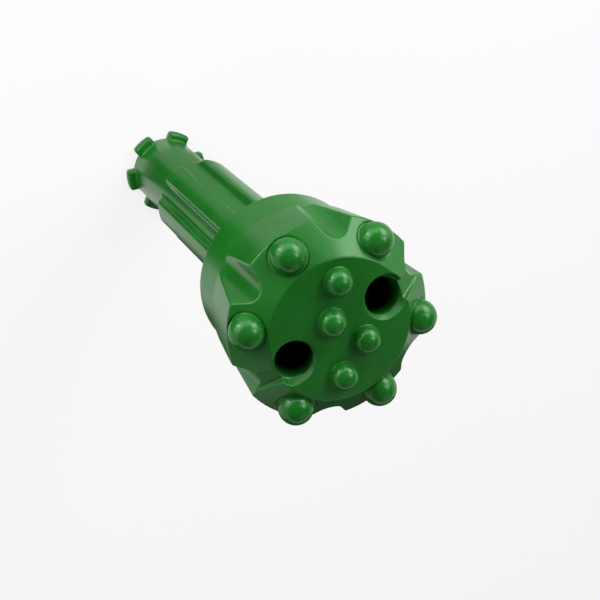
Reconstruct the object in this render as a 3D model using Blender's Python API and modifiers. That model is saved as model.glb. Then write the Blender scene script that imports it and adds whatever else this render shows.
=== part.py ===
"""Button drill bit for a down-the-hole hammer.

One turned and milled steel body: a head with a flat face and a conical gauge bevel, a collar, and a
splined shank that ends in lugs. Six gauge buttons and four front buttons are pressed into the head.
The bit stands on its tail: the origin is the centre of the tail face and +Z runs up to the front face.
Units are metres.
"""
from math import atan2, cos, hypot, pi, radians, sin, tan

import bmesh
import bpy
from mathutils import Matrix, Vector

# Head
overall_length = 0.2
face_radius = 0.02575
gauge_radius = 0.0369
bevel_depth = 0.01025
gauge_relief = 0.0033
head_length = 0.0345
rear_fillet = 0.0012

# Collar, which has the diameter of the hammer's casing
collar_step = 0.0023
collar_length = 0.0208
collar_chamfer = 0.0008

# Shank, turned to the splines' tips, then milled between them
root_radius = 0.0144
spline_radius = 0.0182
spline_width = 0.0094
spline_count = 6
spline_turn = radians(-21.2)
spline_gap_fillet = 0.003
spline_gap_land = 0.0008
spline_runout = 0.01
ring_groove_radius = 0.0142
ring_groove_length = 0.035
lug_length = 0.005
lug_chamfer = 0.0012

# Air passages
bore_radius = 0.008
bore_mouth_chamfer = 0.0015
drill_point_angle = radians(118)
flushing_hole_radius = 0.0075
flushing_hole_place = 0.0202
flushing_hole_tilt = radians(17)
flushing_mouth_radius = 0.0092
flushing_mouth_depth = 0.002

# Chip notches round the head, and the slots that join two of them to the flushing holes
notch_angles = tuple(radians(a) for a in (0, 60, 121.5, 180, 239.2, 302.3))
notch_floor_width = 0.0055
notch_face_depth = 0.0063
notch_rear_depth = 0.0006
notch_flank_angle = radians(42)
notch_height = 0.009
slot_floor_width = 0.006
slot_flank_angle = radians(33)
slot_height = 0.007
slot_inner_radius = 0.024
slot_inner_depth = 0.0026
slot_outer_radius = 0.0316
slot_outer_depth = 0.0069
slot_overrun = 0.0025

# Gauge buttons stand square on the bevel
gauge_button_radius = 0.0062
gauge_button_stand = 0.0005
gauge_button_seat = 0.0082
gauge_button_inset = 0.0054
gauge_button_angles = tuple(radians(a) for a in (-87.2, -146.7, 146.8, 93, 34, -33.2))
spot_face_radius = 0.0076
spot_face_depth = 0.0007

# Front buttons stand square on the flat face
front_button_radius = 0.005
front_button_stand = 0.0008
front_button_seat = 0.009
front_button_place_1 = (-0.0074, -0.0159)
front_button_place_2 = (0.0014, -0.0046)
front_button_place_3 = (-0.0057, 0.0087)
front_button_place_4 = (0.0074, 0.0154)

# Fit and finish
seat_gap = 0.0003
button_foot_chamfer = 0.0006
cut_overrun = 0.004
merge_distance = 0.00001

# Facets
body_steps = 72
shank_steps = 60
hole_steps = 28
gauge_button_steps = 28
front_button_steps = 24
dome_rings = 6
fillet_points = 3

# Heights and radii that follow from the sizes above
face_height = overall_length
bevel_height = face_height - bevel_depth
head_rear_height = face_height - head_length
collar_rear_height = head_rear_height - collar_length
groove_top_height = lug_length + ring_groove_length
head_rear_radius = gauge_radius - gauge_relief
collar_radius = head_rear_radius - collar_step
notch_face_radius = gauge_radius - notch_face_depth
notch_rear_radius = head_rear_radius - notch_rear_depth
gauge_button_place = gauge_radius - gauge_button_inset
bevel_lean = atan2(gauge_radius - face_radius, bevel_depth)
gauge_button_lean = pi / 2 - bevel_lean

PAINT_GREEN = (0.035, 0.2, 0.045, 1)
BUTTON_GREEN = (0.03, 0.22, 0.045, 1)


def clear_scene():
    for old in list(bpy.data.objects):
        bpy.data.objects.remove(old, do_unlink=True)


def new_collection(name):
    collection = bpy.data.collections.new(name)
    bpy.context.scene.collection.children.link(collection)
    return collection


def paint(name, colour, roughness):
    material = bpy.data.materials.new(name)
    material.use_nodes = True
    shader = material.node_tree.nodes["Principled BSDF"]
    shader.inputs["Base Color"].default_value = colour
    shader.inputs["Roughness"].default_value = roughness
    shader.inputs["Metallic"].default_value = 0
    return material


def arc(centre, radius, start, end, points):
    """Points of an arc in the profile plane, both ends included."""
    turns = [start + (end - start) * i / points for i in range(points + 1)]
    return [(centre[0] + radius * cos(t), centre[1] + radius * sin(t)) for t in turns]


def turned_mesh(name, profile, closed=False):
    """A profile of (radius, height) points, down its outer side, for a Screw modifier to turn."""
    mesh = bpy.data.meshes.new(name)
    edges = [(i, i + 1) for i in range(len(profile) - 1)]
    if closed:
        edges.append((len(profile) - 1, 0))
    mesh.from_pydata([(r, 0, z) for r, z in profile], edges, [])
    return mesh


def turned_object(name, mesh, steps, collection):
    item = bpy.data.objects.new(name, mesh)
    collection.objects.link(item)
    screw = item.modifiers.new("turn", "SCREW")
    screw.steps = steps
    screw.render_steps = steps
    screw.use_merge_vertices = True
    screw.merge_threshold = merge_distance
    screw.use_smooth_shade = True
    return item


def cone_object(name, bottom_radius, top_radius, depth, steps, collection):
    """A cone frustum or cylinder along Z with its middle at the object's origin."""
    mesh = bpy.data.meshes.new(name)
    shape = bmesh.new()
    bmesh.ops.create_cone(shape, cap_ends=True, segments=steps,
                          radius1=bottom_radius, radius2=top_radius, depth=depth)
    shape.to_mesh(mesh)
    shape.free()
    item = bpy.data.objects.new(name, mesh)
    collection.objects.link(item)
    return item


def groove_mesh(name, floor_width, flank_angle, height, length):
    """A groove's section, its floor on the YZ plane and its mouth towards +X, extruded down -Z."""
    half_floor = floor_width / 2
    half_mouth = half_floor + height * tan(flank_angle)
    outline = [(0, -half_floor), (0, half_floor), (height, half_mouth), (height, -half_mouth)]
    mesh = bpy.data.meshes.new(name)
    shape = bmesh.new()
    face = shape.faces.new([shape.verts.new((x, y, 0)) for x, y in outline])
    swept = bmesh.ops.extrude_face_region(shape, geom=[face])["geom"]
    swept_verts = [v for v in swept if isinstance(v, bmesh.types.BMVert)]
    bmesh.ops.translate(shape, verts=swept_verts, vec=(0, 0, -length))
    bmesh.ops.recalc_face_normals(shape, faces=shape.faces)
    shape.to_mesh(mesh)
    shape.free()
    return mesh


def hide_as_cutter(item):
    item.hide_render = True
    item.display_type = "WIRE"


def cut(target, name, cutters):
    for cutter in cutters:
        hide_as_cutter(cutter)
        boolean = target.modifiers.new(f"{name} {cutter.name}", "BOOLEAN")
        boolean.operation = "DIFFERENCE"
        boolean.solver = "EXACT"
        boolean.object = cutter


def body_profile():
    """The turned blank, from the middle of the front face out and down to the tail."""
    rear_arc = arc((collar_radius + rear_fillet, head_rear_height - rear_fillet),
                   rear_fillet, pi / 2, pi, fillet_points)
    rise = spline_radius - ring_groove_radius
    sweep = 2 * atan2(rise, spline_runout)
    runout_radius = rise / (1 - cos(sweep))
    runout_arc = arc((ring_groove_radius + runout_radius, groove_top_height),
                     runout_radius, pi - sweep, pi, fillet_points)
    return [
        (0, face_height),
        (face_radius, face_height),
        (gauge_radius, bevel_height),
        (head_rear_radius, head_rear_height),
        *rear_arc,
        (collar_radius, collar_rear_height + collar_chamfer),
        (collar_radius - collar_chamfer, collar_rear_height),
        (spline_radius, collar_rear_height),
        *runout_arc,
        (ring_groove_radius, lug_length),
        (spline_radius - lug_chamfer, lug_length),
        (spline_radius, lug_length - lug_chamfer),
        (spline_radius, lug_chamfer),
        (spline_radius - lug_chamfer, 0),
        (0, 0),
    ]


def spline_gap_cutter(helpers):
    """A tube round the shank's root, less the splines: what is milled away between them."""
    top = collar_rear_height - spline_gap_land
    outside = spline_radius + cut_overrun
    foot_arc = arc((root_radius + spline_gap_fillet, top - spline_gap_fillet),
                   spline_gap_fillet, pi, pi / 2, fillet_points)
    profile = [(outside, top), (outside, -cut_overrun), (root_radius, -cut_overrun), *foot_arc]
    tube = turned_object("spline_gap_cutter", turned_mesh("spline_gap", profile, closed=True),
                         shank_steps, helpers)
    bars = []
    height = top + cut_overrun * 3
    for i in range(spline_count // 2):
        mesh = bpy.data.meshes.new(f"spline_bar_{i + 1}")
        shape = bmesh.new()
        bmesh.ops.create_cube(shape, size=1)
        bmesh.ops.scale(shape, verts=shape.verts, vec=(outside * 3, spline_width, height))
        bmesh.ops.translate(shape, verts=shape.verts, vec=(0, 0, height / 2 - cut_overrun * 2))
        shape.to_mesh(mesh)
        shape.free()
        bar = bpy.data.objects.new(f"spline_bar_{i + 1}", mesh)
        bar.rotation_euler.z = spline_turn + 2 * pi * i / spline_count
        helpers.objects.link(bar)
        bars.append(bar)
    cut(tube, "keep", bars)
    return tube


def notch_cutters(helpers):
    """Straight flutes, deep at the face and shallower at the rear of the head."""
    lean = atan2(notch_rear_radius - notch_face_radius, head_length)
    length = (head_length + 2 * cut_overrun) / cos(lean)
    mesh = groove_mesh("notch", notch_floor_width, notch_flank_angle, notch_height, length)
    start = Vector((notch_face_radius - cut_overrun * tan(lean), 0, face_height + cut_overrun))
    cutters = []
    for number, angle in enumerate(notch_angles, 1):
        cutter = bpy.data.objects.new(f"notch_cutter_{number}", mesh)
        turn = Matrix.Rotation(angle, 4, "Z")
        cutter.matrix_world = turn @ Matrix.Translation(start) @ Matrix.Rotation(-lean, 4, "Y")
        helpers.objects.link(cutter)
        cutters.append(cutter)
    return cutters


def slot_cutters(helpers):
    """Sloping slots that lead from each flushing hole out to its notch."""
    run = slot_outer_radius - slot_inner_radius
    fall = slot_outer_depth - slot_inner_depth
    slope = atan2(fall, run)
    length = hypot(run, fall) + 2 * slot_overrun
    mesh = groove_mesh("slot", slot_floor_width, slot_flank_angle, slot_height, length)
    start = Vector((slot_inner_radius - slot_overrun * cos(slope), 0,
                    face_height - slot_inner_depth + slot_overrun * sin(slope)))
    cutters = []
    for side in (0, pi):
        cutter = bpy.data.objects.new(f"slot_cutter_{len(cutters) + 1}", mesh)
        turn = Matrix.Rotation(side, 4, "Z")
        tip = Matrix.Rotation(-(pi / 2 - slope), 4, "Y")
        cutter.matrix_world = turn @ Matrix.Translation(start) @ tip
        helpers.objects.link(cutter)
        cutters.append(cutter)
    return cutters


def air_passage_cutters(helpers):
    """The bore up from the tail, and two slanted holes that leave it for the front face."""
    branch_depth = flushing_hole_place / tan(flushing_hole_tilt)
    bore_top = face_height - branch_depth + flushing_hole_radius
    point = bore_radius / tan(drill_point_angle / 2)
    profile = [
        (0, bore_top + point),
        (bore_radius, bore_top),
        (bore_radius, bore_mouth_chamfer),
        (bore_radius + bore_mouth_chamfer, 0),
        (bore_radius + bore_mouth_chamfer, -cut_overrun),
        (0, -cut_overrun),
    ]
    cutters = [turned_object("bore_cutter", turned_mesh("bore_cutter", profile), hole_steps, helpers)]
    reach = branch_depth / cos(flushing_hole_tilt) + cut_overrun
    for number, side in ((1, 0), (2, pi)):
        turn = Matrix.Rotation(side, 4, "Z")
        hole = cone_object(f"flushing_hole_cutter_{number}", flushing_hole_radius, flushing_hole_radius,
                           reach, hole_steps, helpers)
        foot = Matrix.Translation((0, 0, face_height - branch_depth))
        tilt = Matrix.Rotation(flushing_hole_tilt, 4, "Y")
        hole.matrix_world = turn @ foot @ tilt @ Matrix.Translation((0, 0, reach / 2))
        cutters.append(hole)

        slope = (flushing_mouth_radius - flushing_hole_radius) / flushing_mouth_depth
        height = flushing_mouth_depth + cut_overrun
        mouth = cone_object(f"flushing_mouth_cutter_{number}", flushing_hole_radius,
                            flushing_mouth_radius + slope * cut_overrun, height, hole_steps, helpers)
        place = Vector((flushing_hole_place, 0, face_height - flushing_mouth_depth + height / 2))
        mouth.matrix_world = turn @ Matrix.Translation(place)
        cutters.append(mouth)
    return cutters


def gauge_seat(angle):
    """Frame of a gauge button: origin on the bevel's crest line, Z square to the bevel."""
    depth = (gauge_button_place - face_radius) / tan(bevel_lean)
    place = Vector((gauge_button_place, 0, face_height - depth))
    turn = Matrix.Rotation(angle, 4, "Z")
    return turn @ Matrix.Translation(place) @ Matrix.Rotation(gauge_button_lean, 4, "Y")


def front_seat(place):
    """Frame of a front button: origin on the flat face, Z along the bit."""
    return Matrix.Translation((place[0], place[1], face_height))


def gauge_socket_profile():
    """A blind hole with a wider spot face above it, as one turned cutter."""
    radius = gauge_button_radius + seat_gap
    floor = -gauge_button_seat - seat_gap
    return [
        (0, cut_overrun),
        (spot_face_radius, cut_overrun),
        (spot_face_radius, -spot_face_depth),
        (radius, -spot_face_depth),
        (radius, floor),
        (0, floor),
    ]


def front_socket_profile():
    """A plain blind hole."""
    radius = front_button_radius + seat_gap
    floor = -front_button_seat - seat_gap
    return [(0, cut_overrun), (radius, cut_overrun), (radius, floor), (0, floor)]


def button_profile(radius, stand, seat):
    """A domed stud: half ball, short stem and chamfered foot."""
    return [
        (0, stand + radius),
        *arc((0, stand), radius, pi / 2 - pi / 2 / dome_rings, 0, dome_rings - 1),
        (radius, button_foot_chamfer - seat),
        (radius - button_foot_chamfer, -seat),
        (0, -seat),
    ]


def build_buttons(body, parts, helpers):
    """The ten pressed-in buttons and their sockets."""
    gauge_paint = paint("gauge_button_paint", BUTTON_GREEN, 0.25)
    front_paint = paint("front_button_paint", BUTTON_GREEN, 0.25)
    gauge_mesh = turned_mesh("gauge_button", button_profile(gauge_button_radius, gauge_button_stand,
                                                            gauge_button_seat))
    gauge_mesh.materials.append(gauge_paint)
    front_mesh = turned_mesh("front_button", button_profile(front_button_radius, front_button_stand,
                                                            front_button_seat))
    front_mesh.materials.append(front_paint)
    gauge_socket = turned_mesh("gauge_socket", gauge_socket_profile())
    front_socket = turned_mesh("front_socket", front_socket_profile())
    cutters = []
    for number, angle in enumerate(gauge_button_angles, 1):
        button = turned_object(f"gauge_button_{number}", gauge_mesh, gauge_button_steps, parts)
        button.matrix_world = gauge_seat(angle)
        socket = turned_object(f"gauge_socket_cutter_{number}", gauge_socket, gauge_button_steps, helpers)
        socket.matrix_world = gauge_seat(angle)
        cutters.append(socket)
    places = (front_button_place_1, front_button_place_2, front_button_place_3, front_button_place_4)
    for number, place in enumerate(places, 1):
        button = turned_object(f"front_button_{number}", front_mesh, front_button_steps, parts)
        button.matrix_world = front_seat(place)
        socket = turned_object(f"front_socket_cutter_{number}", front_socket, front_button_steps, helpers)
        socket.matrix_world = front_seat(place)
        cutters.append(socket)
    cut(body, "seat", cutters)


def build_bit():
    clear_scene()
    parts = new_collection("button_drill_bit")
    helpers = new_collection("button_drill_bit_cutters")

    body_mesh = turned_mesh("bit_body", body_profile())
    body_mesh.materials.append(paint("body_paint", PAINT_GREEN, 0.3))
    body = turned_object("bit_body", body_mesh, body_steps, parts)

    cut(body, "mill", [spline_gap_cutter(helpers), *notch_cutters(helpers), *slot_cutters(helpers)])
    cut(body, "drill", air_passage_cutters(helpers))
    build_buttons(body, parts, helpers)


build_bit()
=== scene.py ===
"""Looks for the button drill bit: a painted body and ten painted buttons in a pale studio.

The bit stands on its tail on the floor, with its axis along Z and the flushing holes on the X axis.
Units are metres. The sizes repeat the ones that the solids are made from, apart from the flushing
holes, their slots and the spot faces, which follow the photograph more closely here, and the
roundings. The body is one smooth skin: a distance field holds the turned shape and its cuts, with
its edges and corners rounded as the thick enamel rounds them, and a fine net of quads is laid on
the field's zero level.
"""
from math import atan2, cos, hypot, inf, pi, radians, sin, sqrt, tan

import bmesh
import bpy
import numpy as np
from mathutils import Matrix, Vector


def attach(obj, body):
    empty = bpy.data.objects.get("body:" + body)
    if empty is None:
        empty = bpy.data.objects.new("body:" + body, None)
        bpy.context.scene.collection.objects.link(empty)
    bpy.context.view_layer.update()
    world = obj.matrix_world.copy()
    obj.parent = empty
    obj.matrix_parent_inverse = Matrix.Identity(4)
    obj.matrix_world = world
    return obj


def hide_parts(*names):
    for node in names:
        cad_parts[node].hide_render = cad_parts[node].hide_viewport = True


# Head
overall_length = 0.2
face_radius = 0.02575
gauge_radius = 0.0369
bevel_depth = 0.01025
gauge_relief = 0.0033
head_length = 0.0345
rear_fillet = 0.0012

# Collar
collar_step = 0.0023
collar_length = 0.0208

# Shank
root_radius = 0.0144
spline_radius = 0.0182
spline_width = 0.0094
spline_count = 6
spline_turn = radians(-21.2)
spline_gap_fillet = 0.003
spline_gap_land = 0.0008
spline_runout = 0.01
ring_groove_length = 0.035
lug_length = 0.005

# Air passages
bore_radius = 0.008
bore_mouth_chamfer = 0.0015
flushing_angles = (0, pi)
flushing_hole_radius = 0.0066
flushing_hole_place = 0.0192
flushing_hole_tilt = radians(17)
flushing_hole_end = 0.155
flushing_mouth_radius = 0.0083
flushing_mouth_depth = 0.0026

# Chip notches
notch_angles = tuple(radians(a) for a in (0, 60, 121.5, 180, 239.2, 302.3))
notch_floor_width = 0.0055
notch_face_depth = 0.0063
notch_rear_depth = 0.0006
notch_flank_angle = radians(42)

# Slots: for each, the angle of its flushing hole, its turn off the radius and its shift across it
slot_sides = ((0, radians(12), 0), (pi, 0, -0.0022))
slot_floor_width = 0.006
slot_flank_angle = radians(20)
slot_inner_radius = 0.024
slot_inner_depth = 0.0017
slot_outer_radius = 0.0305
slot_outer_depth = 0.0062
slot_overrun = 0.0025

# Buttons
gauge_button_radius = 0.0062
gauge_button_stand = 0.0005
gauge_button_inset = 0.0054
gauge_button_angles = tuple(radians(a) for a in (-87.2, -146.7, 146.8, 93, 34, -33.2))
spot_face_radius = 0.007
spot_face_depth = 0.0006
front_button_radius = 0.005
front_button_stand = 0.0008
front_button_places = ((-0.0074, -0.0159), (0.0014, -0.0046), (-0.0057, 0.0087), (0.0074, 0.0154))
button_root = 0.003
button_steps = 72
dome_rings = 22

# Rounding that the paint gives
edge_round = 0.0004
face_edge_round = edge_round * 0.6
collar_edge_round = edge_round * 2
notch_corner_round = 0.0016
slot_corner_round = edge_round * 1.5
spot_corner_round = edge_round * 0.5
spot_edge_round = edge_round * 0.7
mouth_corner_round = edge_round * 0.5
hole_edge_round = edge_round * 0.6
lug_round = 0.0016
lug_edge_round = lug_round * 0.6
spline_round = 0.0011
least_fillet_share = 0.02
button_foot_round = 0.0004
button_foot_reach = button_foot_round * 8
dome_sink = 0.00004

# Net of quads: its cells, how far it goes past the part, and where it is divided into pieces
head_cell = 0.0005
shank_cell = 0.0006
net_margin = 0.0015
dome_margin = 0.0075
head_foot = 0.1435
head_net_overlap = 0.002
shank_net_overlap = 0.003
piece_overlap = 0.0002
body_split = 0.1775
slab_layers = 12
zero_share = 1e-4

# Steps that settle the net on the surface
settle_turns = 8
glide_turns = range(2, 6)
glide_share = 0.6
smooth_bend = 0.004
longest_move_share = 0.4
settle_step_share = 0.1
normal_step_share = 0.2
least_square = 0.25
least_slope = 1e-6
least_move = 1e-9

# Heights and radii that follow from the sizes above
face_height = overall_length
bevel_height = face_height - bevel_depth
head_rear_height = face_height - head_length
collar_rear_height = head_rear_height - collar_length
groove_top_height = lug_length + ring_groove_length
flushing_foot_height = face_height - flushing_hole_place / tan(flushing_hole_tilt)
head_rear_radius = gauge_radius - gauge_relief
collar_radius = head_rear_radius - collar_step
notch_face_radius = gauge_radius - notch_face_depth
notch_rear_radius = head_rear_radius - notch_rear_depth
gauge_button_place = gauge_radius - gauge_button_inset
bevel_lean = atan2(gauge_radius - face_radius, bevel_depth)
gauge_button_lean = pi / 2 - bevel_lean

# Enamel
body_deep = (0.007, 0.12, 0.008, 1)
body_light = (0.011, 0.155, 0.014, 1)
body_roughness = 0.28
body_peel_height = 0.00003
button_deep = (0.008, 0.13, 0.01, 1)
button_light = (0.012, 0.16, 0.017, 1)
button_roughness = 0.2
button_peel_height = 0.00002
enamel_shine = 0.42
enamel_tint = (0.75, 1, 0.78, 1)
enamel_refraction = 1.5
cloud_scale = 60
cloud_detail = 4
cloud_roughness = 0.6
cloud_low = 0.3
cloud_high = 0.72
least_gloss_share = 0.85
most_gloss_share = 1.2
peel_scale = 900
peel_detail = 2
peel_strength = 0.02

# Painted shade down the flushing holes: near black and barely shiny, deepening from the mouth
hole_shade_colour = (0.001, 0.0015, 0.001, 1)
hole_shade_shine = 0.02
hole_shade_length = 0.006
hole_wall_margin = 0.0005

# Floor and room
floor_size = 3
floor_glow = 0.83
floor_tone = 0.5
seen_floor_tone = 0.15
room_light = 0.09
horizon_glow = 0.95
horizon_start = 0.22
horizon_top = 0.34

# Cards on the floor: name, tone, first and last angle round the shank, and outer radius
cards = (
    ("black_card", 0.005, radians(-84), radians(-30), 0.6),
    ("grey_card", 0.42, radians(-175), radians(-84), 0.6),
    ("side_card", 0.12, radians(25), radians(115), 2.5),
)
card_near = 0.02
card_height = 0.001
card_steps = 16

# Lamps: name, direction by the picture's right, top and front, distance, width, height, watts, and
# whether the paint mirrors it
lamps = (
    ("left_softbox", (-0.68, 0.55, 0.48), 0.5, 0.6, 0.5, 2.3, True),
    ("left_core", (-0.68, 0.55, 0.48), 0.45, 0.12, 0.14, 0.4, True),
    ("top_softbox", (0.25, 0.85, 0.45), 0.55, 0.5, 0.35, 1.2, True),
    ("corner_softbox", (0.66, 0.66, 0.36), 0.5, 0.26, 0.3, 1.1, True),
    ("right_softbox", (0.78, 0.35, 0.5), 0.5, 0.4, 0.5, 1, True),
    ("right_core", (0.78, 0.15, 0.6), 0.45, 0.11, 0.13, 0.27, True),
    ("low_fill", (0.6, -0.85, 0.2), 0.4, 0.26, 0.26, 0.08, True),
    ("front_fill", (-0.5, -0.7, 0.5), 0.5, 0.4, 0.4, 0.4, False),
)
lamp_aim = Vector((0, 0, 0.175))

# Camera: place, and the directions of the picture's right side, top and depth
camera_place = Vector((0.063091, -0.25343, 0.606487))
camera_right = Vector((-0.807209, 0.455318, 0.375631))
camera_up = Vector((-0.577983, -0.738853, -0.346456))
camera_depth = Vector((-0.119788, 0.49677, -0.859575))
camera_lens = 86.588
sensor_width = 36
nearest_seen = 0.01
farthest_seen = 20


def make_camera():
    data = bpy.data.cameras.new("camera")
    data.lens = camera_lens
    data.sensor_width = sensor_width
    data.clip_start = nearest_seen
    data.clip_end = farthest_seen
    camera = bpy.data.objects.new("camera", data)
    turn = Matrix((camera_right, camera_up, -camera_depth)).transposed()
    camera.matrix_world = Matrix.Translation(camera_place) @ turn.to_4x4()
    bpy.context.scene.collection.objects.link(camera)
    bpy.context.scene.camera = camera


def both(a, b, rounding=0.0):
    """What lies inside a and inside b, with their common edge rounded. Fields are negative inside.

    The rounding is one radius, or an array with a radius for each point.
    """
    if np.ndim(rounding) == 0 and rounding == 0:
        return np.maximum(a, b)
    corner = np.hypot(np.maximum(a + rounding, 0), np.maximum(b + rounding, 0))
    return np.minimum(np.maximum(a, b), -rounding) + corner


def either(a, b, rounding=0.0):
    """What lies inside a or inside b, with a fillet between them."""
    return -both(-a, -b, rounding)


def without(a, b, rounding=0.0):
    """What lies inside a and outside b, with the rim of the cut rounded."""
    return both(a, -b, rounding)


def gauge_seat(angle):
    """Frame of a gauge button: origin on the bevel's crest line, Z square to the bevel."""
    depth = (gauge_button_place - face_radius) / tan(bevel_lean)
    place = Vector((gauge_button_place, 0, face_height - depth))
    turn = Matrix.Rotation(angle, 4, "Z")
    return turn @ Matrix.Translation(place) @ Matrix.Rotation(gauge_button_lean, 4, "Y")


def front_seat(place):
    """Frame of a front button: origin on the flat face, Z along the bit."""
    return Matrix.Translation((place[0], place[1], face_height))


def seat_distances(seat, x, y, z):
    """Distance from the seat's axis, and height along it."""
    axis = seat.col[2]
    base = seat.col[3]
    dx, dy, dz = x - base.x, y - base.y, z - base.z
    along = dx * axis.x + dy * axis.y + dz * axis.z
    off = np.sqrt(np.maximum(dx * dx + dy * dy + dz * dz - along * along, 0))
    return off, along


def head_field(radius, z):
    """The turned head and collar."""
    widening = gauge_radius - face_radius
    slant = hypot(widening, bevel_depth)
    bevel = (radius - face_radius) * (bevel_depth / slant) + (z - face_height) * (widening / slant)
    flank_length = bevel_height - head_rear_height
    flank = hypot(flank_length, gauge_relief)
    gauge = (radius - gauge_radius) * (flank_length / flank) - (z - bevel_height) * (gauge_relief / flank)
    head = both(z - face_height, bevel, face_edge_round)
    head = both(head, gauge, edge_round)
    head = both(head, head_rear_height - z, edge_round)
    collar = both(radius - collar_radius, collar_rear_height - z, collar_edge_round)
    collar = both(collar, z - face_height + head_length / 2)
    return either(head, collar, rear_fillet)


def notch_field(angle, x, y, z):
    """A chip notch, deep at the face and shallow at the rear of the head."""
    out = x * cos(angle) + y * sin(angle)
    side = np.abs(y * cos(angle) - x * sin(angle))
    rise = notch_rear_radius - notch_face_radius
    length = hypot(head_length, rise)
    above = (out - notch_face_radius) * (head_length / length) + (z - face_height) * (rise / length)
    flank = (side - notch_floor_width / 2) * cos(notch_flank_angle) - above * sin(notch_flank_angle)
    return both(-above, flank, notch_corner_round)


def slot_field(angle, turn, shift, x, y, z):
    """A slot from a flushing hole to the notch beside it, turned and moved off the radius."""
    ahead = x * cos(angle) + y * sin(angle) - slot_inner_radius
    across = y * cos(angle) - x * sin(angle)
    out = ahead * cos(turn) + across * sin(turn) + slot_inner_radius
    side = np.abs(across * cos(turn) - ahead * sin(turn) - shift)
    run = slot_outer_radius - slot_inner_radius
    fall = slot_outer_depth - slot_inner_depth
    length = hypot(run, fall)
    from_start = out - slot_inner_radius
    drop = z - (face_height - slot_inner_depth)
    above = from_start * (fall / length) + drop * (run / length)
    along = from_start * (run / length) - drop * (fall / length)
    flank = (side - slot_floor_width / 2) * cos(slot_flank_angle) - above * sin(slot_flank_angle)
    groove = both(-above, flank, slot_corner_round)
    return both(groove, -slot_overrun - along, edge_round)


def flushing_field(angle, x, y, z):
    """A slanted hole with its countersunk mouth."""
    out = x * cos(angle) + y * sin(angle)
    side = y * cos(angle) - x * sin(angle)
    across = out * cos(flushing_hole_tilt) - (z - flushing_foot_height) * sin(flushing_hole_tilt)
    hole = both(np.hypot(across, side) - flushing_hole_radius, flushing_hole_end - z)
    slope = atan2(flushing_mouth_radius - flushing_hole_radius, flushing_mouth_depth)
    off = np.hypot(out - flushing_hole_place, side)
    mouth = (off - flushing_mouth_radius) * cos(slope) - (z - face_height) * sin(slope)
    mouth = both(mouth, face_height - flushing_mouth_depth - z, mouth_corner_round)
    return either(hole, mouth, mouth_corner_round)


def spline_side(number, x, y):
    """How far a point is past the sides of one spline, which runs out from the axis."""
    angle = spline_turn + 2 * pi * number / spline_count
    side = np.abs(y * cos(angle) - x * sin(angle)) - spline_width / 2
    return np.maximum(side, -(x * cos(angle) + y * sin(angle)))


def shank_field(x, y, z, radius):
    """The splined shank with its ring groove and tail lugs.

    The fillets beside the splines and the lugs fade out towards the ring groove and the tail face,
    where they would stand proud of the steel.
    """
    splines = np.minimum.reduce([spline_side(i, x, y) for i in range(spline_count)])
    rise = spline_radius - root_radius
    sweep = 2 * atan2(rise, spline_runout)
    runout_radius = rise / (1 - cos(sweep))
    runout = runout_radius - np.hypot(radius - root_radius - runout_radius, z - groove_top_height)
    upper = both(radius - spline_radius, splines, spline_round)
    upper = both(upper, np.where(z > groove_top_height, runout, root_radius - radius), edge_round)
    upper = both(upper, groove_top_height - z)
    lugs = both(radius - spline_radius, splines, lug_edge_round)
    lugs = both(lugs, np.abs(z - lug_length / 2) - lug_length / 2, lug_round)
    core = both(radius - root_radius, -z, edge_round)
    land = both(radius - spline_radius, collar_rear_height - spline_gap_land - z)
    core = either(core, land, spline_gap_fillet)
    runout_share = np.clip((z - groove_top_height) / spline_runout, least_fillet_share, 1)
    shank = either(core, upper, spline_round * runout_share)
    lug_share = np.clip(z / lug_length, least_fillet_share, 1)
    shank = either(shank, lugs, spline_round * lug_share)
    return both(shank, z - head_rear_height)


def button_field(off, along, radius):
    """A domed stem, a little inside the dome that is drawn for it. Heights start at its centre."""
    return np.where(along > 0, np.hypot(off, along), off) - radius + dome_sink


def body_field(x, y, z):
    """Distance from the painted body's surface, negative inside."""
    radius = np.hypot(x, y)
    low = float(z.min())
    high = float(z.max())
    if low > collar_rear_height:
        body = head_field(radius, z)
    elif high < collar_rear_height - rear_fillet:
        body = shank_field(x, y, z, radius)
    else:
        body = either(head_field(radius, z), shank_field(x, y, z, radius), edge_round)
    if high > head_rear_height:
        for angle in notch_angles:
            body = without(body, notch_field(angle, x, y, z), edge_round)
        for angle, turn, shift in slot_sides:
            body = without(body, slot_field(angle, turn, shift, x, y, z), edge_round)
        for angle in gauge_button_angles:
            off, along = seat_distances(gauge_seat(angle), x, y, z)
            spot = both(off - spot_face_radius, -along - spot_face_depth, spot_corner_round)
            body = without(body, spot, spot_edge_round)
            along = along - gauge_button_stand
            stem = both(button_field(off, along, gauge_button_radius), -along - button_root)
            body = either(body, stem, button_foot_round)
    if high > flushing_hole_end:
        for angle in flushing_angles:
            body = without(body, flushing_field(angle, x, y, z), hole_edge_round)
    if high > face_height - button_foot_reach:
        for place in front_button_places:
            off, along = seat_distances(front_seat(place), x, y, z)
            along = along - front_button_stand
            stem = both(button_field(off, along, front_button_radius), face_height - button_root - z)
            body = either(body, stem, button_foot_round)
    if low < flushing_foot_height:
        bore = both(radius - bore_radius, z - head_foot + bore_mouth_chamfer)
        mouth = (radius + z - bore_radius - bore_mouth_chamfer) / sqrt(2)
        body = without(body, np.minimum(bore, mouth), edge_round)
    return body


def hole_shade_mask(x, y, z):
    """Painted shade down a flushing hole: how far a point on the surface lies down it, from 0 at its mouth
    to 1 where the shade is darkest.
    """
    across = np.abs(x) * cos(flushing_hole_tilt) - (z - flushing_foot_height) * sin(flushing_hole_tilt)
    within = np.hypot(across, y) < flushing_hole_radius + hole_wall_margin
    depth = np.clip((face_height - flushing_mouth_depth - z) / hole_shade_length, 0, 1)
    return np.where(within & (z > flushing_hole_end), depth, 0)


def block(start, counts):
    """Slices of a block of the grid that begins at start."""
    return tuple(slice(s, s + c) for s, c in zip(start, counts))


def step_along(axis):
    """One step of the grid along an axis."""
    return np.array([1 if i == axis else 0 for i in range(3)])


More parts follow.
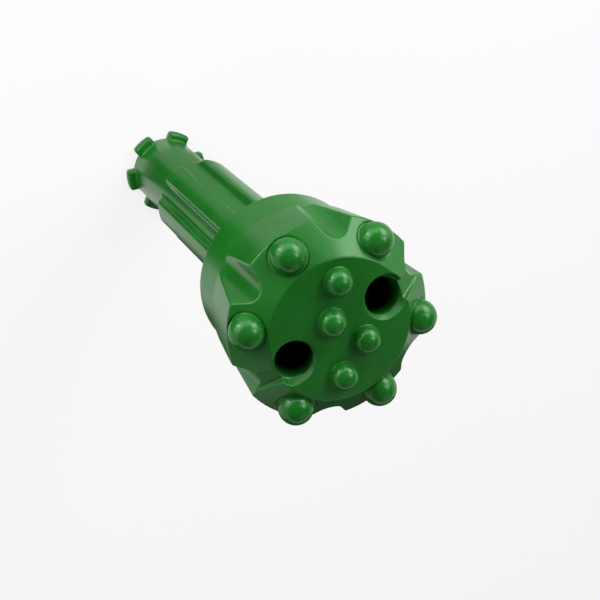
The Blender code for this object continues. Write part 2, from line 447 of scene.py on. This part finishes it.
def field_on_grid(field, axes, cell):
    """The field's values on the grid, worked out in slabs of a few layers, and never quite zero."""
    value = np.empty([len(axis) for axis in axes], dtype=np.float32)
    for start in range(0, len(axes[2]), slab_layers):
        x, y, z = np.meshgrid(axes[0], axes[1], axes[2][start:start + slab_layers], indexing="ij")
        value[:, :, start:start + slab_layers] = field(x, y, z)
    value[np.abs(value) < cell * zero_share] = cell * zero_share
    return value


def net_of_quads(field, low, high, cell):
    """Vertices on the field's zero level, one to each cell that it crosses, and the quads between them."""
    counts = [int(round((high[i] - low[i]) / cell)) + 1 for i in range(3)]
    value = field_on_grid(field, [low[i] + cell * np.arange(counts[i]) for i in range(3)], cell)
    inside = value < 0

    # A cell's vertex is the mean of the points where its edges cross the surface
    cells = [c - 1 for c in counts]
    total = np.zeros(cells, dtype=np.float32)
    spot = np.zeros((*cells, 3), dtype=np.float32)
    corners = np.array([(i, j, k) for i in (0, 1) for j in (0, 1) for k in (0, 1)])
    for axis in range(3):
        for corner in corners[corners[:, axis] == 0]:
            near = block(corner, cells)
            far = block(corner + step_along(axis), cells)
            crossed = inside[near] != inside[far]
            a = value[near][crossed]
            b = value[far][crossed]
            at = np.tile(corner.astype(np.float32), (len(a), 1))
            at[:, axis] = a / (a - b)
            total[crossed] += 1
            spot[crossed] += at
    used = total > 0
    index = np.full(cells, -1, dtype=np.int64)
    index[used] = np.arange(int(used.sum()))
    points = (np.argwhere(used) + spot[used] / total[used][:, None]) * cell + np.array(low)

    # Each edge of the grid that crosses the surface gives a quad between the four cells round it
    quads = []
    for axis, (b, c) in enumerate(((1, 2), (2, 0), (0, 1))):
        size = counts - step_along(axis)
        near = block((0, 0, 0), size)
        far = block(step_along(axis), size)
        at = np.argwhere(inside[near] != inside[far])
        keep = (at[:, b] > 0) & (at[:, c] > 0) & (at[:, b] < cells[b]) & (at[:, c] < cells[c])
        at = at[keep]
        leaving = inside[near][tuple(at.T)]
        ring = []
        for db, dc in ((-1, -1), (0, -1), (0, 0), (-1, 0)):
            cell_at = at.copy()
            cell_at[:, b] += db
            cell_at[:, c] += dc
            ring.append(index[tuple(cell_at.T)])
        ring = np.stack(ring, axis=1)
        ring[~leaving] = ring[~leaving][:, ::-1]
        quads.append(ring)
    return points, np.concatenate(quads)


def slopes(field, points, step):
    """The field's gradient at the points, and its value there."""
    parts = []
    for axis in range(3):
        shift = np.zeros(3)
        shift[axis] = step
        ahead = field(*(points + shift).T)
        behind = field(*(points - shift).T)
        parts.append((ahead - behind) / (2 * step))
    return np.stack(parts, axis=1), field(*points.T)


def unit(gradient):
    """Normals of length one."""
    return gradient / np.maximum(np.linalg.norm(gradient, axis=1), least_slope)[:, None]


def glide(points, quads, gradient):
    """Steps along the surface that spread the points evenly where it is smooth, so no sliver shows."""
    ends = np.concatenate([quads[:, [i, (i + 1) % 4]] for i in range(4)])
    count = np.maximum(np.bincount(ends[:, 0], minlength=len(points)), 1)[:, None]
    normals = unit(gradient)
    means = []
    for values in (points, normals):
        sums = [np.bincount(ends[:, 0], values[ends[:, 1], i], len(points)) for i in range(3)]
        means.append(np.stack(sums, axis=1) / count)
    pull = means[0] - points
    pull -= normals * (pull * normals).sum(axis=1)[:, None]
    bend = 1 - (normals * means[1]).sum(axis=1)
    return np.where((bend < smooth_bend)[:, None], pull * glide_share, 0)


def settle(field, points, quads, cell):
    """The points moved onto the field's zero level in short steps."""
    for turn in range(settle_turns):
        gradient, value = slopes(field, points, cell * settle_step_share)
        square = np.maximum((gradient ** 2).sum(axis=1), least_square)
        move = -gradient * (value / square)[:, None]
        if turn in glide_turns:
            move += glide(points, quads, gradient)
        length = np.linalg.norm(move, axis=1)
        limit = np.minimum(1, cell * longest_move_share / np.maximum(length, least_move))
        points = points + move * limit[:, None]
    return points


def skin(name, field, low, high, cell, bands):
    """Meshes of the field's surface, one to each band of heights, with normals taken from the field."""
    points, quads = net_of_quads(field, low, high, cell)
    points = settle(field, points, quads, cell)
    normals = unit(slopes(field, points, cell * normal_step_share)[0])
    height = points[quads][:, :, 2].mean(axis=1)
    made = []
    for number, (bottom, top) in enumerate(bands, 1):
        chosen = quads[(height >= bottom) & (height < top)]
        kept, packed = np.unique(chosen, return_inverse=True)
        packed = packed.reshape(chosen.shape)
        mesh = bpy.data.meshes.new(f"{name}_{number}")
        mesh.vertices.add(len(kept))
        mesh.vertices.foreach_set("co", points[kept].astype(np.float32).ravel())
        mesh.loops.add(packed.size)
        mesh.loops.foreach_set("vertex_index", packed.astype(np.int32).ravel())
        mesh.polygons.add(len(packed))
        mesh.polygons.foreach_set("loop_start", np.arange(0, packed.size, 4, dtype=np.int32))
        mesh.polygons.foreach_set("use_smooth", np.ones(len(packed), dtype=bool))
        mesh.update(calc_edges=True)
        mesh.normals_split_custom_set_from_vertices(normals[kept].tolist())
        # Painted shade down the flushing holes, kept on each point for the enamel to read
        hole_shade_share = mesh.attributes.new("hole_shade_share", "FLOAT", "POINT")
        hole_shade_share.data.foreach_set("value", hole_shade_mask(*points[kept].T).astype(np.float32))
        made.append(mesh)
    return made


def dome_mesh(name, radius, stand, seat):
    """A button's dome and a short stem, turned in steps and set in its seat."""
    rises = [pi / 2 * i / dome_rings for i in range(dome_rings)]
    dome = [(radius * cos(t), stand + radius * sin(t)) for t in rises]
    turns = [2 * pi * i / button_steps for i in range(button_steps)]
    mesh = bpy.data.meshes.new(name)
    shape = bmesh.new()
    rings = []
    for r, z in [(radius, -button_root), (radius, -button_root / 2), *dome]:
        rings.append([shape.verts.new(seat @ Vector((r * cos(t), r * sin(t), z))) for t in turns])
    for lower, upper in zip(rings, rings[1:]):
        for i in range(button_steps):
            j = (i + 1) % button_steps
            shape.faces.new((lower[i], lower[j], upper[j], upper[i]))
    top = shape.verts.new(seat @ Vector((0, 0, stand + radius)))
    for i in range(button_steps):
        shape.faces.new((rings[-1][i], rings[-1][(i + 1) % button_steps], top))
    for face in shape.faces:
        face.smooth = True
    shape.to_mesh(mesh)
    shape.free()
    return mesh


def add_object(mesh, material):
    """An object of the mesh's name, with its material."""
    made = bpy.data.objects.new(mesh.name, mesh)
    bpy.context.scene.collection.objects.link(made)
    mesh.materials.append(material)
    return made


def node(tree, kind, **settings):
    """A shader node with its settings."""
    made = tree.nodes.new(kind)
    for key, value in settings.items():
        setattr(made, key, value)
    return made


def new_material(name):
    """A material, its node tree and its main shader."""
    material = bpy.data.materials.new(name)
    material.use_nodes = True
    tree = material.node_tree
    return material, tree, tree.nodes["Principled BSDF"]


def enamel(name, deep, light, roughness, peel_height):
    """Gloss enamel: soft tone changes, fine orange peel, and painted shade darkening to near black down
    the flushing holes.
    """
    material, tree, shader = new_material(name)
    place = node(tree, "ShaderNodeTexCoord")

    cloud = node(tree, "ShaderNodeTexNoise")
    cloud.inputs["Scale"].default_value = cloud_scale
    cloud.inputs["Detail"].default_value = cloud_detail
    cloud.inputs["Roughness"].default_value = cloud_roughness
    tree.links.new(place.outputs["Object"], cloud.inputs["Vector"])
    tone = node(tree, "ShaderNodeValToRGB")
    tone.color_ramp.elements[0].position = cloud_low
    tone.color_ramp.elements[0].color = deep
    tone.color_ramp.elements[1].position = cloud_high
    tone.color_ramp.elements[1].color = light
    tree.links.new(cloud.outputs["Fac"], tone.inputs["Fac"])

    # Painted shade down the flushing holes: the colour runs to near black and the shine drops with depth
    hole_shade_share = node(tree, "ShaderNodeAttribute", attribute_name="hole_shade_share")
    paint = node(tree, "ShaderNodeMix", data_type="RGBA")
    paint.inputs["B"].default_value = hole_shade_colour
    tree.links.new(hole_shade_share.outputs["Fac"], paint.inputs["Factor"])
    tree.links.new(tone.outputs["Color"], paint.inputs["A"])
    tree.links.new(paint.outputs["Result"], shader.inputs["Base Color"])
    shine = node(tree, "ShaderNodeMapRange")
    shine.inputs["To Min"].default_value = enamel_shine
    shine.inputs["To Max"].default_value = hole_shade_shine
    tree.links.new(hole_shade_share.outputs["Fac"], shine.inputs["Value"])
    tree.links.new(shine.outputs["Result"], shader.inputs["Specular IOR Level"])

    gloss = node(tree, "ShaderNodeMapRange")
    gloss.inputs["To Min"].default_value = roughness * least_gloss_share
    gloss.inputs["To Max"].default_value = roughness * most_gloss_share
    tree.links.new(cloud.outputs["Fac"], gloss.inputs["Value"])
    tree.links.new(gloss.outputs["Result"], shader.inputs["Roughness"])

    peel = node(tree, "ShaderNodeTexNoise")
    peel.inputs["Scale"].default_value = peel_scale
    peel.inputs["Detail"].default_value = peel_detail
    tree.links.new(place.outputs["Object"], peel.inputs["Vector"])
    bump = node(tree, "ShaderNodeBump")
    bump.inputs["Strength"].default_value = peel_strength
    bump.inputs["Distance"].default_value = peel_height
    tree.links.new(peel.outputs["Fac"], bump.inputs["Height"])
    tree.links.new(bump.outputs["Normal"], shader.inputs["Normal"])
    shader.inputs["Metallic"].default_value = 0
    shader.inputs["IOR"].default_value = enamel_refraction
    shader.inputs["Specular Tint"].default_value = enamel_tint
    return material


def seen_rays(tree):
    """1 for camera, glossy and transmission rays, else 0."""
    rays = node(tree, "ShaderNodeLightPath")
    first = node(tree, "ShaderNodeMath", operation="MAXIMUM")
    tree.links.new(rays.outputs["Is Camera Ray"], first.inputs[0])
    tree.links.new(rays.outputs["Is Glossy Ray"], first.inputs[1])
    second = node(tree, "ShaderNodeMath", operation="MAXIMUM")
    tree.links.new(first.outputs["Value"], second.inputs[0])
    tree.links.new(rays.outputs["Is Transmission Ray"], second.inputs[1])
    return second.outputs["Value"]


def floor_paper():
    """White paper, seen pale with the shadow left in it, and grey for the light that it throws back."""
    material, tree, _ = new_material("floor_paper")
    tree.nodes.clear()
    paper = node(tree, "ShaderNodeBsdfDiffuse")
    paper.inputs["Color"].default_value = (floor_tone, floor_tone, floor_tone, 1)
    pale = node(tree, "ShaderNodeBsdfDiffuse")
    pale.inputs["Color"].default_value = (seen_floor_tone, seen_floor_tone, seen_floor_tone, 1)
    glow = node(tree, "ShaderNodeEmission")
    glow.inputs["Color"].default_value = (1, 1, 1, 1)
    glow.inputs["Strength"].default_value = floor_glow
    seen = node(tree, "ShaderNodeAddShader")
    tree.links.new(pale.outputs["BSDF"], seen.inputs[0])
    tree.links.new(glow.outputs["Emission"], seen.inputs[1])
    mix = node(tree, "ShaderNodeMixShader")
    tree.links.new(seen_rays(tree), mix.inputs["Fac"])
    tree.links.new(paper.outputs["BSDF"], mix.inputs[1])
    tree.links.new(seen.outputs["Shader"], mix.inputs[2])
    out = node(tree, "ShaderNodeOutputMaterial")
    tree.links.new(mix.outputs["Shader"], out.inputs["Surface"])
    return material


def make_floor():
    mesh = bpy.data.meshes.new("floor")
    shape = bmesh.new()
    bmesh.ops.create_grid(shape, x_segments=1, y_segments=1, size=floor_size)
    shape.to_mesh(mesh)
    shape.free()
    floor = add_object(mesh, floor_paper())


def make_card(name, tone, start, end, far):
    """A card on the floor beside the shank, seen only in the paint, as studios use for contrast."""
    mesh = bpy.data.meshes.new(name)
    angles = [start + (end - start) * i / card_steps for i in range(card_steps + 1)]
    shape = bmesh.new()
    inner = [shape.verts.new((card_near * cos(a), card_near * sin(a), card_height)) for a in angles]
    outer = [shape.verts.new((far * cos(a), far * sin(a), card_height)) for a in angles]
    for i in range(card_steps):
        shape.faces.new((inner[i], outer[i], outer[i + 1], inner[i + 1]))
    shape.to_mesh(mesh)
    shape.free()
    material, _, shader = new_material(f"{name}_paper")
    shader.inputs["Base Color"].default_value = (tone, tone, tone, 1)
    shader.inputs["Roughness"].default_value = 1
    shader.inputs["Specular IOR Level"].default_value = 0
    card = add_object(mesh, material)
    card.visible_camera = False
    card.visible_diffuse = False
    card.visible_shadow = False


def make_room():
    """Even white light, seen brighter near the horizon so that the floor has no dark edge."""
    world = bpy.data.worlds.new("studio")
    bpy.context.scene.world = world
    world.use_nodes = True
    tree = world.node_tree
    background = tree.nodes["Background"]
    background.inputs["Color"].default_value = (1, 1, 1, 1)
    place = node(tree, "ShaderNodeTexCoord")
    parts = node(tree, "ShaderNodeSeparateXYZ")
    tree.links.new(place.outputs["Generated"], parts.inputs["Vector"])
    horizon = node(tree, "ShaderNodeMapRange", interpolation_type="SMOOTHSTEP")
    horizon.inputs["From Min"].default_value = horizon_top
    horizon.inputs["From Max"].default_value = horizon_start
    horizon.inputs["To Min"].default_value = room_light
    horizon.inputs["To Max"].default_value = horizon_glow
    tree.links.new(parts.outputs["Z"], horizon.inputs["Value"])
    strength = node(tree, "ShaderNodeMapRange")
    strength.inputs["To Min"].default_value = room_light
    tree.links.new(seen_rays(tree), strength.inputs["Value"])
    tree.links.new(horizon.outputs["Result"], strength.inputs["To Max"])
    tree.links.new(strength.outputs["Result"], background.inputs["Strength"])


def make_lamp(name, direction, distance, width, height, watts, mirrored):
    """A soft rectangle of light, aimed at the head."""
    right, up, near = direction
    towards = (camera_right * right + camera_up * up - camera_depth * near).normalized()
    place = lamp_aim + towards * distance
    data = bpy.data.lights.new(name, "AREA")
    data.shape = "RECTANGLE"
    data.size = width
    data.size_y = height
    data.energy = watts
    lamp = bpy.data.objects.new(name, data)
    lamp.location = place
    lamp.rotation_euler = (lamp_aim - place).to_track_quat("-Z", "Y").to_euler()
    lamp.visible_glossy = mirrored
    bpy.context.scene.collection.objects.link(lamp)


make_camera()
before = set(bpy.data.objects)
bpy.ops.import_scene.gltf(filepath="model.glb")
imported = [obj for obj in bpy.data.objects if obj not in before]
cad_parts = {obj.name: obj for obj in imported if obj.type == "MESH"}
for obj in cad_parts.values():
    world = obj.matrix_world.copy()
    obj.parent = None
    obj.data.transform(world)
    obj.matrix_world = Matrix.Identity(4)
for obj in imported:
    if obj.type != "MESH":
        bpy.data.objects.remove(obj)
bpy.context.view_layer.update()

cell_growth = 1
body_paint = enamel("body_enamel", body_deep, body_light, body_roughness, body_peel_height)
button_paint = enamel("button_enamel", button_deep, button_light, button_roughness, button_peel_height)

head_reach = gauge_radius + net_margin
head_meshes = skin("head_skin", body_field, (-head_reach, -head_reach, head_foot - head_net_overlap),
                   (head_reach, head_reach, face_height + dome_margin), head_cell * cell_growth,
                   ((head_foot, body_split), (body_split, inf)))
shank_reach = spline_radius + net_margin
shank_meshes = skin("shank_skin", body_field, (-shank_reach, -shank_reach, -net_margin),
                    (shank_reach, shank_reach, head_foot + shank_net_overlap), shank_cell * cell_growth,
                    ((-inf, head_foot + piece_overlap),))
for mesh in (*head_meshes, *shank_meshes):
    piece = add_object(mesh, body_paint)
    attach(piece, "root")
    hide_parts("bit_body")

for number, angle in enumerate(gauge_button_angles, 1):
    mesh = dome_mesh(f"gauge_dome_{number}", gauge_button_radius, gauge_button_stand, gauge_seat(angle))
    dome = add_object(mesh, button_paint)
    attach(dome, "root")
    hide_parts(f"gauge_button_{number}")
for number, place in enumerate(front_button_places, 1):
    mesh = dome_mesh(f"front_dome_{number}", front_button_radius, front_button_stand, front_seat(place))
    dome = add_object(mesh, button_paint)
    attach(dome, "root")
    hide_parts(f"front_button_{number}")

make_floor()
for name, tone, start, end, far in cards:
    make_card(name, tone, start, end, far)
make_room()
for name, direction, distance, width, height, watts, mirrored in lamps:
    make_lamp(name, direction, distance, width, height, watts, mirrored)

bpy.context.scene.view_settings.view_transform = "Standard"
